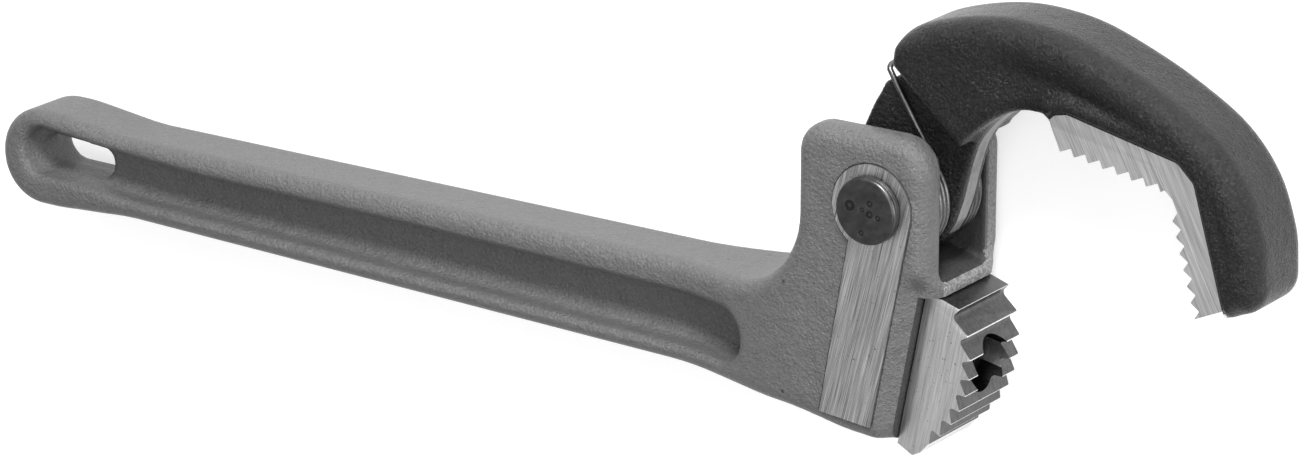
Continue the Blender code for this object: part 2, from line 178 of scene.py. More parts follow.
floor = sheet("floor", 4, -0.0003)
paper = bpy.data.materials.new("matt_white_paper")
paper.use_nodes = True
paper_shader = paper.node_tree.nodes["Principled BSDF"]
paper_shader.inputs["Base Color"].default_value = linear("#C0C0C0")
paper_shader.inputs["Emission Color"].default_value = linear("#FFFFFF")
paper_shader.inputs["Emission Strength"].default_value = 0.6
paper_shader.inputs["Roughness"].default_value = 0.9
floor.data.materials.append(paper)
floor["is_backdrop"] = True

# %% Lights
def softbox(name, direction, distance, size, power):
    """A square area light that looks at the head."""
    light = bpy.data.lights.new(name, "AREA")
    light.shape = "SQUARE"
    light.size = size
    light.energy = power
    lamp = bpy.data.objects.new(name, light)
    towards = Vector(direction).normalized()
    lamp.location = towards * distance
    lamp.rotation_mode = "QUATERNION"
    lamp.rotation_quaternion = towards.to_track_quat("Z", "Y")
    bpy.context.collection.objects.link(lamp)


softbox("key_light", (0.22, 0.80, 0.52), 1.1, 0.24, 18)
softbox("back_light", (-0.25, 0.85, 0.75), 1.3, 0.9, 2)
softbox("end_light", (1.0, 0.05, 0.35), 1.1, 0.6, 6)
softbox("front_light", (0.35, 0.10, 1.0), 1.8, 1.2, 11)

world = bpy.data.worlds.new("pale_room")
world.use_nodes = True
world.node_tree.nodes["Background"].inputs["Color"].default_value = linear("#FFFFFF")
world.node_tree.nodes["Background"].inputs["Strength"].default_value = 0.50
bpy.context.scene.world = world
bpy.context.scene.view_settings.view_transform = "Standard"

# %% [markdown]
# ## Outlines
#
# Forged and cast tools are drawn as outlines first. Three small tools draw ours: corners
# with a radius at each, a smooth curve through points, and an arc.

# %% Outline helpers
def rounded(corners, step=6):
    """Outline through corners (x, y, radius), with an arc at each radius."""
    points = []
    for i, (x, y, radius) in enumerate(corners):
        here = Vector((x, y))
        before = (Vector(corners[i - 1][:2]) - here).normalized()
        after = (Vector(corners[(i + 1) % len(corners)][:2]) - here).normalized()
        if radius == 0:
            points.append((x, y))
            continue
        half = before.angle(after) / 2
        centre = here + (before + after).normalized() * (radius / math.sin(half))
        a = here + before * (radius / math.tan(half)) - centre
        b = here + after * (radius / math.tan(half)) - centre
        start = math.atan2(a.y, a.x)
        turn = math.atan2(a.x * b.y - a.y * b.x, a.dot(b))
        count = max(1, round(abs(math.degrees(turn)) / step))
        for k in range(count + 1):
            angle = start + turn * k / count
            points.append((centre.x + radius * math.cos(angle),
                           centre.y + radius * math.sin(angle)))
    return points


def curve(points, steps=6):
    """Smooth open curve through the points (Catmull-Rom)."""
    ends = [points[0]] + list(points) + [points[-1]]
    result = []
    for i in range(1, len(ends) - 2):
        p0, p1, p2, p3 = (Vector(p) for p in ends[i - 1:i + 3])
        for k in range(steps):
            t = k / steps
            p = 0.5 * (2 * p1 + (p2 - p0) * t + (2 * p0 - 5 * p1 + 4 * p2 - p3) * t * t
                       + (3 * p1 - p0 - 3 * p2 + p3) * t ** 3)
            result.append((p.x, p.y))
    return result + [tuple(points[-1])]


def arc(centre, radius, start, end, count):
    """Points on an arc, angles in degrees."""
    angles = [math.radians(start + (end - start) * k / count) for k in range(count + 1)]
    return [(centre[0] + radius * math.cos(a), centre[1] + radius * math.sin(a))
            for a in angles]


# %% [markdown]
# ## Castings from distance fields
#
# A casting has no sharp edges: molten metal can't fill them, and every inside corner gets a
# fillet so that it doesn't crack. Bevelling such shapes edge by edge is slow, and it fails
# where roundings meet. A distance field is easier. For each point of a grid it stores how
# far the surface is, negative inside. Two fields are joined or cut with a radius by a short
# formula, and the roundings run into each other as they do in a real mould.
#
# The field of an outline is its signed distance in the plane of the jaws. Thickness is a
# second field, the height over the middle plane less half the thickness, and cutting one
# with the other gives a slab with rounded rims.

# %% Distance fields
def outline_field(outline, x, y):
    """Signed distance to an outline in the jaws' plane, negative inside."""
    x, y = np.broadcast_arrays(x, y)
    best = np.full(x.shape, 1e9)
    inside = np.zeros(x.shape, bool)
    points = np.array(outline)
    for a, b in zip(points, np.roll(points, -1, axis=0)):
        ex, ey = b - a
        length = ex * ex + ey * ey
        if length < 1e-9:
            continue
        t = np.clip(((x - a[0]) * ex + (y - a[1]) * ey) / length, 0, 1)
        best = np.minimum(best, np.hypot(x - a[0] - t * ex, y - a[1] - t * ey))
        if a[1] != b[1]:
            inside ^= ((a[1] > y) != (b[1] > y)) & (x < a[0] + (y - a[1]) * ex / ey)
    return np.where(inside, -best, best)


def both(a, b, radius):
    """Where both fields are solid, with the edge between them rounded to a radius."""
    u, v = np.maximum(radius + a, 0), np.maximum(radius + b, 0)
    return np.minimum(-radius, np.maximum(a, b)) + np.hypot(u, v)


def joined(a, b, radius):
    """Where either field is solid, with a fillet of a radius between them."""
    return -both(-a, -b, radius)


def ease(t):
    """Smooth step from 0 to 1."""
    t = np.clip(t, 0, 1)
    return t * t * (3 - 2 * t)


def grid(low, high, step):
    """X and Y of a grid as columns, and Z across it."""
    x, y, z = (np.arange(a, b + step, step) for a, b in zip(low, high))
    return x[:, None, None], y[None, :, None], z[None, None, :]


# %% [markdown]
# To make a mesh of a field we look for the grid cells that its zero level passes through.
# Each of them gets one point, the average of the places where the level crosses the cell's
# edges, and each crossed edge gets a quad between the four cells around it. This is known
# as surface nets, and it gives an even skin of quads with no poles and no seams.

# %% Skin of a field
def skin(name, field, low, step):
    """Mesh object of a field's zero level, drawn in millimetres about the pivot."""
    rings, spots = [], []
    for axis in range(3):
        ahead = np.roll(field, -1, axis)
        found = np.argwhere((field < 0) != (ahead < 0))
        here, there = field[tuple(found.T)], ahead[tuple(found.T)]
        spot = found.astype(float)
        spot[:, axis] += here / (here - there)
        ring = []
        for du, dv in ((0, 0), (1, 0), (1, 1), (0, 1)):
            cell = found.copy()
            cell[:, (axis + 1) % 3] -= du
            cell[:, (axis + 2) % 3] -= dv
            ring.append(np.ravel_multi_index(tuple(cell.T), field.shape))
        ring = np.stack(ring, 1)
        ring[here > 0] = ring[here > 0][:, ::-1]
        rings.append(ring)
        spots.append(spot)
    rings, spots = np.concatenate(rings), np.concatenate(spots)
    used, place = np.unique(rings, return_inverse=True)
    place = place.reshape(rings.shape)
    count = np.bincount(place.ravel())
    points = [np.bincount(place.ravel(), np.repeat(spots[:, k], 4)) / count for k in range(3)]
    points = (np.stack(points, 1) * step + np.array(low)) * MM + [0, 0, REST * MM]
    mesh = bpy.data.meshes.new(name)
    mesh.from_pydata(points.tolist(), [], place.tolist())
    piece = bpy.data.objects.new(name, mesh)
    bpy.context.collection.objects.link(piece)
    return piece


# %% [markdown]
# ## Crisp solids and machining
#
# After casting, some faces are milled, drilled or ground, and those edges stay sharp. So
# the cutters are plain extruded outlines and turned profiles, and a Boolean modifier does
# the machining. Once it is applied the cutter is thrown away, as a shaving is.

# %% Solids and cuts
def finish_mesh(name, bm):
    """Object of a bmesh drawn in millimetres about the pivot's centre."""
    bmesh.ops.remove_doubles(bm, verts=bm.verts, dist=0.0005)
    bmesh.ops.recalc_face_normals(bm, faces=bm.faces)
    bmesh.ops.scale(bm, vec=(MM, MM, MM), verts=bm.verts)
    bmesh.ops.translate(bm, vec=(0, 0, REST * MM), verts=bm.verts)
    mesh = bpy.data.meshes.new(name)
    bm.to_mesh(mesh)
    bm.free()
    piece = bpy.data.objects.new(name, mesh)
    bpy.context.collection.objects.link(piece)
    return piece


def prism(name, outline, low, high, chamfer=0.0):
    """Extrude an outline from low to high, with its rims chamfered if asked."""
    bm = bmesh.new()
    face = bm.faces.new([bm.verts.new((x, y, low)) for x, y in outline])
    top = bmesh.ops.extrude_face_region(bm, geom=[face])
    moved = [v for v in top["geom"] if isinstance(v, bmesh.types.BMVert)]
    bmesh.ops.translate(bm, vec=(0, 0, high - low), verts=moved)
    if chamfer:
        rims = [e for e in bm.edges if abs(e.verts[0].co.z - e.verts[1].co.z) < 1e-6]
        bmesh.ops.bevel(bm, geom=rims, offset=chamfer, offset_type="OFFSET", segments=2,
                        profile=0.5, affect="EDGES", clamp_overlap=True)
    return finish_mesh(name, bm)


def lathe(profile, steps=96):
    """Spin a closed (radius, height) profile round Z, as a bmesh in millimetres."""
    bm = bmesh.new()
    verts = [bm.verts.new((r, 0, z)) for r, z in profile]
    edges = [bm.edges.new((verts[i], verts[(i + 1) % len(verts)])) for i in range(len(verts))]
    bmesh.ops.spin(bm, geom=verts + edges, cent=(0, 0, 0), axis=(0, 0, 1), angle=math.tau,
                   steps=steps, use_merge=True)
    bmesh.ops.remove_doubles(bm, verts=bm.verts, dist=0.0005)
    bmesh.ops.delete(bm, geom=[e for e in bm.edges if not e.link_faces], context="EDGES")
    return bm


def rod(radius, low, high):
    """Profile of a plain cylinder."""
    return [(0, low), (radius, low), (radius, high), (0, high)]


def applied(piece):
    """Replace a piece's mesh by the result of its modifiers, and remove them."""
    bpy.context.view_layer.update()
    solved = piece.evaluated_get(bpy.context.evaluated_depsgraph_get())
    mesh = bpy.data.meshes.new_from_object(solved)
    piece.modifiers.clear()
    old, piece.data = piece.data, mesh
    bpy.data.meshes.remove(old)
    return piece


def machine(piece, cutter, operation="DIFFERENCE"):
    """Cut a piece with a solid, or join the solid to it, and drop the solid."""
    modifier = piece.modifiers.new("machining", "BOOLEAN")
    modifier.object = cutter
    modifier.operation = operation
    modifier.solver = "MANIFOLD"
    applied(piece)
    bpy.data.objects.remove(cutter)


def shade(piece, angle=48):
    """Smooth shading, broken where faces meet more sharply than the angle."""
    piece.data.shade_smooth()
    piece.data.set_sharp_from_angle(angle=math.radians(angle))
    print(f"{piece.name}: {len(piece.data.polygons)} faces")


# %% [markdown]
# ## The handle's casting
#
# The handle is one piece from the hanging eye to the two ears that hold the jaw. Its bar is
# an I-section: a thin web between two round rims, which is stiff for its weight. Towards
# the head it swells from 20 to 34 mm thick, so its half thickness is a field too. Beside the
# seat of the heel jaw the casting steps down again to a narrower block.

# %% Sizes of the handle
EAR_HALF, PAD_HALF, SLOT_HALF, SEAT_HALF, BAR_HALF, WEB_HALF = 17.0, 17.3, 9.7, 13.4, 9.9, 2.0
SEAT_TOP, SEAT_TILT, SEAT_LENGTH, SCREW_DOWN = (10.5, -20.1), math.radians(10.7), 37.0, 15.0
SWELL_START, SWELL_END, SHOULDER = -61.0, -20.0, 4.0
PIN_R, FAR_SPOT_R, FAR_SPOT_DEPTH, SPOT_R = 6.3, 8.9, 3.4, 10.2
SCREW_HOLE_R, DOWEL_HOLE_R, DOWEL_OFFSET = 4.3, 1.8, 10

HANDLE = rounded([(-20.6, 16.8, 7), (-20.6, -25.3, 20), (-224, -25.3, 40), (-245, -22.8, 25),
                  (-262.6, -22.8, 12.1), (-262.6, -47.4, 12.1), (-245, -47.4, 25),
                  (-222, -45.9, 40), (-50, -50.3, 60), (-22, -51.6, 40), (-8, -54.5, 30),
                  (10, -56, 3.5), (15.2, -18, 2.5), (13.6, -14.5, 4), (13.6, 16.8, 8)])
RECESS = rounded([(-254.7, -26.3, 5.9), (-254.7, -39.0, 5.9), (-236, -39.4, 20),
                  (-222, -40.8, 20), (-37.5, -46.3, 6.3), (-37.5, -33.2, 6.3),
                  (-130, -31.3, 60), (-198, -30.7, 40), (-230, -28.8, 30)])
EYE = rounded([(-254.3, -30.4, 4.1), (-254.3, -39.1, 4.1), (-231.9, -38.7, 3.2),
               (-231.9, -31.8, 3.2)])
SLOT = rounded([(-30, 40, 0), (-30, 5, 0), (-14.8, 5, 0), (-14.8, -14.6, 3), (5, -14.6, 6),
                (15, -17.2, 0), (40, -17.2, 0), (40, 40, 0)])
FAR_CORNER = arc((-8.6, 4.8), 12.0, 180, 90, 24) + [(-8.6, 30), (-34, 30), (-34, 4.8)]


def seat_point(down, out):
    """A point measured down the seat from its top, and out from it towards the teeth."""
    s, c = math.sin(SEAT_TILT), math.cos(SEAT_TILT)
    return (SEAT_TOP[0] - down * s + out * c, SEAT_TOP[1] - down * c - out * s)


SEAT_OUT = np.array([math.cos(SEAT_TILT), -math.sin(SEAT_TILT), 0])


def out_of_seat(x, y):
    """How far a point stands out from the seat, towards the teeth."""
    return ((x - SEAT_TOP[0]) * math.cos(SEAT_TILT)
            - (y - SEAT_TOP[1]) * math.sin(SEAT_TILT))


print(f"bar {2 * BAR_HALF:.0f} mm thick, head {2 * EAR_HALF:.0f} mm")

# %% Field of the handle
HANDLE_STEP = 0.75
handle_low = (-265.5, -59.0, -19.5)
x, y, z = grid(handle_low, (19.0, 19.5, 19.5), HANDLE_STEP)
swell = ease((x - SWELL_START) / (SWELL_END - SWELL_START))
slope = ease(1 + out_of_seat(x, y) / SHOULDER) * ease((-13.0 - y) / 6)
half = BAR_HALF + (EAR_HALF - BAR_HALF) * swell - (EAR_HALF - SEAT_HALF) * slope
rise = np.abs(z) - half

edge = 3.6 + 0.6 * ease((x + 30) / 20)
casting = both(outline_field(HANDLE, x, y), rise, edge)
hollow = both(outline_field(RECESS, x, y), WEB_HALF - np.abs(z), 3.6)
casting = both(casting, -hollow, 2.2)
casting = both(casting, -(outline_field(EYE, x, y) + 0 * z), 0.9)
slot = both(outline_field(SLOT, x, y), np.abs(z) - SLOT_HALF, 1.2)
casting = both(casting, -slot, 0.8)
far_corner = np.maximum(outline_field(FAR_CORNER, x, y), z)
casting = both(casting, -far_corner, 2.0)
handle = skin("wrench_handle", casting, handle_low, HANDLE_STEP)
print("grid", casting.shape, "quads", len(handle.data.polygons))

# %% [markdown]
# ## Machining the handle
#
# Four jobs are done on the casting: a seat is milled for the heel jaw, a pad is milled flat
# on each side for the pivot and as a gauge face, the pivot is bored through both ears, and
# the far ear is counterbored for a washer and a ring. The mill leaves a thin ragged line
# where it meets the rough paint, so a narrow uneven groove runs round each pad.

# %% Machined faces of the handle
def resampled(outline, spacing):
    """Points at an even spacing along a closed outline."""
    points = np.array(outline + outline[:1])
    steps = np.hypot(*np.diff(points, axis=0).T)
    run = np.concatenate([[0], np.cumsum(steps)])
    at = np.linspace(0, run[-1], max(8, int(run[-1] / spacing)), endpoint=False)
    return np.stack([np.interp(at, run, points[:, k]) for k in (0, 1)], 1)


def ragged(outline, low, high, seed, spacing=0.5):
    """The outline moved out by an uneven margin between low and high."""
    points = resampled(outline, spacing)
    ahead, behind = np.roll(points, -1, axis=0), np.roll(points, 1, axis=0)
    along = ahead - behind
    normal = np.stack([along[:, 1], -along[:, 0]], 1)
    normal /= np.hypot(*normal.T)[:, None]
    wander = np.random.default_rng(seed).random(len(points))
    wander = 0.6 * wander + 0.4 * (np.roll(wander, 1) + np.roll(wander, -1)) / 2
    return (points + normal * (low + (high - low) * wander)[:, None]).tolist()


PAD = arc((0, 0), SPOT_R, -15, 235, 60) + [(-13.1, -50.2), (0.4, -51.6)]
for side, seed in ((1, 4), (-1, 5)):
    low, high = sorted((side * (EAR_HALF - 0.15), side * 24))
    machine(handle, prism("pad_groove", ragged(PAD, 0.18, 0.50, seed), low, high))
    low, high = sorted((side * (EAR_HALF - 2), side * PAD_HALF))
    machine(handle, prism("pad", PAD, low, high), "UNION")

top, low = seat_point(-GAP, -GAP), seat_point(SEAT_LENGTH + 12, -GAP)
machine(handle, prism("seat", [top, low, (40, low[1]), (40, top[1])], -30, 30))
machine(handle, finish_mesh("bore", lathe(rod(PIN_R + GAP, -30, 30))))
machine(handle, finish_mesh("spot", lathe(rod(FAR_SPOT_R, -30, FAR_SPOT_DEPTH - PAD_HALF))))


def on_seat(bm, down):
    """Turn a lathed shape to stand on the seat, its axis square to it."""
    out = Vector((math.cos(SEAT_TILT), -math.sin(SEAT_TILT), 0))
    turn = Vector((0, 0, 1)).rotation_difference(out).to_matrix()
    bmesh.ops.rotate(bm, cent=(0, 0, 0), matrix=turn, verts=bm.verts)
    bmesh.ops.translate(bm, vec=(*seat_point(down, 0), 0), verts=bm.verts)
    return bm


for down, radius, depth in ((SCREW_DOWN, SCREW_HOLE_R, 15),
                            (SCREW_DOWN - DOWEL_OFFSET, DOWEL_HOLE_R, 6.5),
                            (SCREW_DOWN + DOWEL_OFFSET, DOWEL_HOLE_R, 6.5)):
    machine(handle, finish_mesh("hole", on_seat(lathe(rod(radius, -depth, 2), 32), down)))
shade(handle)

# %% [markdown]
# ## The hook jaw's forging
#
# The hook jaw is a thick forged hook on a thin tang. Its rims are heavily rounded, its sides
# are a little dished between a rib along the back and a rib along the teeth, and the tang
# grows out of it with a small fillet. Only the toothed section is ground thinner.

# %% Outlines of the hook jaw
HOOK_HALF, LINING_HALF, TANG_HALF, BUSH_R = 11.6, 9.5, 4.1, 8.3
BACK_EDGE = curve([(1.3, 36.0), (3.6, 39.6), (9.6, 42.5), (19.8, 45.2), (30.1, 46.2),
                   (42.7, 44.9), (55.3, 40.7), (67.8, 35.0), (80.0, 27.4), (88.3, 17.5),
                   (92.6, 6.0), (93.4, -1.5)])
NECK_EDGE = curve([(19.7, 17.6), (25.0, 22.2), (29.5, 25.0), (34.2, 26.5), (39.0, 26.8)])
MOUTH_STOCK = [(39.6, 22.0), (40.6, 14.5), (66.0, 9.0), (70.5, -16.0)]
HOOK_END = rounded([(80.0, -13.5, 0), (93.6, -8.4, 6.0), (93.4, -1.5, 0)])[:-1]
HOOK = ([(0.7, 31.8), (18.4, 15.6)] + NECK_EDGE + MOUTH_STOCK + HOOK_END
        + list(reversed(BACK_EDGE)))
TANG = (arc((0, 0), 13.5, 178, 322, 24)
        + curve([(12.9, -4.6), (14.7, 0.6), (15.9, 5.6), (17.2, 10.6), (19.0, 15.8)])
        + [(26, 27), (20, 36), (6, 36), (2.2, 33.0)]
        + [(0.3, 31.6), (-0.9, 27.8), (-5.2, 25.2)]
        + curve([(-6.4, 22.8), (-8.7, 18.6), (-12.2, 10.0), (-13.4, 3.0)]))
GROUND = rounded([(39.6, 25.0, 0), (41.8, 27.0, 1.2), (45.0, 27.7, 2), (72.4, 21.6, 2.5),
                  (76.5, 17.7, 2.5), (86.0, -14.6, 0), (86, -32, 0), (30, -32, 0),
                  (30, 20, 0)])

# %% Field of the hook jaw
HOOK_STEP = 0.6
hook_low = (-16.0, -19.0, -14.0)
x, y, z = grid(hook_low, (97.0, 49.0, 14.0), HOOK_STEP)
body = outline_field(HOOK, x, y)
lining = outline_field(GROUND, x, y)
to_back = -outline_field(list(BACK_EDGE) + [(93, -30), (0, -30)], x, y)
shoulder = ease((x + y - 36) / 8)
dish = 1.6 * ease((to_back - 6) / 6) * ease((lining - 2.6) / 3) * ease((x - 22) / 14)
drop = 1.7 * (1 - ease(lining / 1.6))
rim = 1.8 + (1.2 + 2.6 * ease(1 - (to_back - 5) / 4)) * shoulder
forging = both(body, np.abs(z) - (HOOK_HALF - dish - drop), rim)
tang = both(outline_field(TANG, x, y), np.abs(z) - TANG_HALF, 1.0)
hook = skin("hook_jaw_forging", joined(forging, tang, 1.6), hook_low, HOOK_STEP)
print("quads", len(hook.data.polygons))

# %% [markdown]
# ## Teeth, by Geometry Nodes
#
# A row of teeth is one notch, cut again and again along a line. That is a job for Geometry
# Nodes: a mesh of points says where each notch goes, with its turn and its size, and the
# tree puts a copy of the notch on each. The result is one solid that cuts the whole row.
# Milled teeth have one steep flank, which bites, and one long flank, which slides.

# %% A tree that repeats a cutter along a row
def row_tree():
    """Copies of a shape on points, turned and sized by the points' attributes."""
    tree = bpy.data.node_groups.new("cutter_row", "GeometryNodeTree")
    face = tree.interface
    face.new_socket("Row", in_out="INPUT", socket_type="NodeSocketGeometry")
    face.new_socket("Shape", in_out="INPUT", socket_type="NodeSocketObject")
    face.new_socket("Finish", in_out="INPUT", socket_type="NodeSocketMaterial")
    face.new_socket("Cutters", in_out="OUTPUT", socket_type="NodeSocketGeometry")
    start = add(tree, "NodeGroupInput")
    shape = add(tree, "GeometryNodeObjectInfo", {"transform_space": "ORIGINAL"},
                {"Object": start.outputs["Shape"], "As Instance": True})
    turn = add(tree, "GeometryNodeInputNamedAttribute", {"data_type": "FLOAT"},
               {"Name": "turn"})
    size = add(tree, "GeometryNodeInputNamedAttribute", {"data_type": "FLOAT_VECTOR"},
               {"Name": "size"})
    angles = add(tree, "ShaderNodeCombineXYZ", {}, {"Z": turn.outputs["Attribute"]})
    copies = add(tree, "GeometryNodeInstanceOnPoints", {},
                 {"Points": start.outputs["Row"], "Instance": shape.outputs["Geometry"],
                  "Rotation": angles.outputs["Vector"], "Scale": size.outputs["Attribute"]})
    real = add(tree, "GeometryNodeRealizeInstances", {},
               {"Geometry": copies.outputs["Instances"]})
    coloured = add(tree, "GeometryNodeSetMaterial", {},
                   {"Geometry": real.outputs["Geometry"],
                    "Material": start.outputs["Finish"]})
    add(tree, "NodeGroupOutput", {}, {"Cutters": coloured.outputs["Geometry"]})
    return tree


def set_input(modifier, name, value):
    """Set a Geometry Nodes input by its socket's identifier."""
    socket = next(s for s in modifier.node_group.interface.items_tree
                  if s.name == name and s.in_out == "INPUT")
    modifier[socket.identifier] = value


def cutter_row(tree, places, shape, finish):
    """Solid made of a shape at each place (x, y, turn in radians, size along x and y)."""
    mesh = bpy.data.meshes.new("row")
    mesh.from_pydata([(px * MM, py * MM, REST * MM) for px, py, _, _ in places], [], [])
    turns = mesh.attributes.new("turn", "FLOAT", "POINT")
    turns.data.foreach_set("value", [place[2] for place in places])
    sizes = mesh.attributes.new("size", "FLOAT_VECTOR", "POINT")
    sizes.data.foreach_set("vector", [v for place in places for v in (*place[3], 1.0)])
    row = bpy.data.objects.new("row", mesh)
    bpy.context.collection.objects.link(row)
    modifier = row.modifiers.new("row", "NODES")
    modifier.node_group = tree
    set_input(modifier, "Shape", shape)
    set_input(modifier, "Finish", finish)
    return applied(row)


def notch(name, pitch, depth, lean, land, round_r):
    """Cutter between two tips a pitch apart; lean says where its deepest point falls."""
    clear = -math.copysign(1, depth)
    deepest = land + (pitch - 2 * land) * lean
    corners = [(land, 3 * clear, 0), (land, 0.02 * clear, 0), (deepest, depth, round_r),
               (pitch - land, 0.02 * clear, 0), (pitch - land, 3 * clear, 0)]
    shape = prism(name, rounded(corners, 15), -16, 16)
    shape.data.transform(Matrix.Translation((0, 0, -REST * MM)))
    return shape


# A stand-in finish for the cutters: the faces that they leave get their own further down.
steel_stock = bpy.data.materials.new("cutter")
tooth_tree = row_tree()
print("inputs:", [s.name for s in tooth_tree.interface.items_tree if s.in_out == "INPUT"])

# %% [markdown]
# The hook's teeth stand on two flats that meet at a round corner. First the mouth is opened
# along the tips with one plain cut, then the two rows of notches are cut. Leaving a narrow
# land on each tip keeps it from being a knife edge, as a worn tooth has.

# %% Teeth of the hook jaw
HOOK_PITCH, HOOK_DEPTH = 3.67, 1.6
UPPER_FLAT, LOWER_FLAT = (43.2, 19.0, -10.4, 7), (71.5, 8.4, -73.8, 6)


def flat_row(start_x, start_y, direction, pitches):
    """Places of the notches along a flat, and the flat's last tip."""
    a = math.radians(direction)
    dx, dy = math.cos(a), math.sin(a)
    places = [(start_x + dx * HOOK_PITCH * k, start_y + dy * HOOK_PITCH * k, a, (1, 1))
              for k in range(pitches)]
    last = (start_x + dx * HOOK_PITCH * pitches, start_y + dy * HOOK_PITCH * pitches)
    return places, last


upper, upper_end = flat_row(*UPPER_FLAT)
lower, lower_end = flat_row(*LOWER_FLAT)
MOUTH = ([UPPER_FLAT[:2], upper_end, (68.6, 15.6), (71.3, 13.2), (72.6, 10.4),
          LOWER_FLAT[:2], lower_end, (84.5, -9.6), (84.5, -30), (36, -30), (30, 10),
          (38.6, 26.9), (40.5, 25.2)])
machine(hook, prism("mouth", MOUTH, -20, 20))
for side in (1, -1):
    low, high = sorted((side * LINING_HALF, side * 20))
    machine(hook, prism("grind", GROUND, low, high))
for places, lean in ((upper, 0.70), (lower, 0.58)):
    shape = notch("notch", HOOK_PITCH, HOOK_DEPTH, lean, 0.12, 0.25)
    machine(hook, cutter_row(tooth_tree, places, shape, steel_stock))
    bpy.data.objects.remove(shape)
machine(hook, finish_mesh("bush_bore", lathe(rod(BUSH_R + GAP, -20, 20))))
shade(hook)

# %% [markdown]
# ## The heel jaw
#
# The heel jaw is a separate hardened block, held to its seat by a screw sunk between the
# teeth, so that it can be replaced when it wears. Its teeth lie on an arc and get closer
# together down the block. The same tree cuts them, with each notch stretched to its place.

# %% Heel jaw
HEEL_HALF, COUNTERBORE_R, SCREW_BOARD = 10.7, 6.8, 3.5
HEEL_CENTRE, HEEL_TIP_R, HEEL_DEPTH = (-4.0, -34.0), 26.4, 2.5
HEEL_PITCH = 5.0          # of the notch as drawn; each place stretches it to its own pitch
TIP_ANGLES = (28, 14, 2, -8, -17, -26, -35, -44.5, -53)

tips = [arc(HEEL_CENTRE, HEEL_TIP_R, a, a, 1)[0] for a in TIP_ANGLES]
heel_outline = ([SEAT_TOP, (14.6, -20.1)] + tips
                + [(9.6, -57.6), (7.6, -58.6), seat_point(SEAT_LENGTH, 0)])
heel = prism("heel_jaw_block", heel_outline, -HEEL_HALF, HEEL_HALF, 0.25)
places = []
for a, b in zip(tips, tips[1:]):
    places.append((*a, math.atan2(b[1] - a[1], b[0] - a[0]), (math.dist(a, b) / HEEL_PITCH, 1)))
shape = notch("notch", HEEL_PITCH, -HEEL_DEPTH, 0.20, 0.10, 0.8)
print("heel teeth pitches:", [round(HEEL_PITCH * place[3][0], 1) for place in places])
machine(heel, cutter_row(tooth_tree, places, shape, steel_stock))
bpy.data.objects.remove(shape)
machine(heel, finish_mesh("hole", on_seat(lathe(rod(SCREW_HOLE_R, -5, 30), 48), SCREW_DOWN)))
sunk = on_seat(lathe(rod(COUNTERBORE_R, SCREW_BOARD, 40), 64), SCREW_DOWN)
machine(heel, finish_mesh("counterbore", sunk))
for down in (SCREW_DOWN - DOWEL_OFFSET, SCREW_DOWN + DOWEL_OFFSET):
    pocket = on_seat(lathe(rod(DOWEL_HOLE_R, -2, 5.5), 32), down)
    machine(heel, finish_mesh("pocket", pocket))
shade(heel, 28)

# %% [markdown]
# ## Turned parts
#
# The pivot pin is turned on a lathe: a profile spun round its axis. Its head has a rounded
# rim with a fine groove, and its face carries a few small round dents, which the heading
# tool leaves. The dents are one shape on a few points, so the row tree makes them too.

# %% Pivot pin
HEAD_TOP, HEAD_R = 20.0, 7.8
under_head = PAD_HALF + GAP
ring_low = -PAD_HALF + FAR_SPOT_DEPTH - 3 * GAP - 2.0
groove_r = PIN_R - 1.2
head_rim = [(HEAD_R - 0.25, under_head), (HEAD_R, under_head + 0.25), (HEAD_R, 18.75),
            (HEAD_R - 0.14, 18.85), (HEAD_R - 0.14, 19.0), (HEAD_R, 19.1)]
head_rim += [(HEAD_R - 0.9 + 0.9 * math.cos(math.radians(a)),
              HEAD_TOP - 0.8 + 0.8 * math.sin(math.radians(a))) for a in range(10, 91, 10)]
pin_profile = ([(0, -PAD_HALF), (PIN_R - 0.4, -PAD_HALF), (PIN_R, ring_low - GAP - 0.1),
                (groove_r, ring_low - GAP), (groove_r, ring_low + 1.0 + GAP),
                (PIN_R, ring_low + 1.0 + GAP), (PIN_R, under_head)]
               + head_rim + [(0, HEAD_TOP)])
pin = finish_mesh("pivot_pin_turned", lathe(pin_profile))

dent_profile = [(0.16, 0.05), (0.34, -0.03), (0.52, -0.055), (0.70, -0.03), (0.88, 0.05)]
dent = finish_mesh("dent", lathe([(r, HEAD_TOP + h) for r, h in dent_profile], 24))
dent.data.transform(Matrix.Translation((0, 0, -REST * MM)))
DENTS = [(px, py, 0, (k, k)) for px, py, k in
         ((-3.9, 0.9, 1.7), (1.3, 2.1, 1.1), (1.3, -0.4, 1.2), (3.4, -0.9, 0.9),
          (-0.7, 0.4, 0.8), (-0.8, -5.0, 0.9))]
machine(pin, cutter_row(tooth_tree, DENTS, dent, steel_stock))
bpy.data.objects.remove(dent)
shade(pin, 30)

# %% [markdown]
# ## Enamel over a casting
#
# Tool enamel is baked on over a sand-cast or forged skin, so it isn't smooth: it follows the
# grain of the mould, about a millimetre across, and shows fine pits. The grain is a noise
# in a bump node, whose height is given in true millimetres. The same noise moves the colour
# between two greys and shifts the gloss, and the black coat has small pale flecks as well.

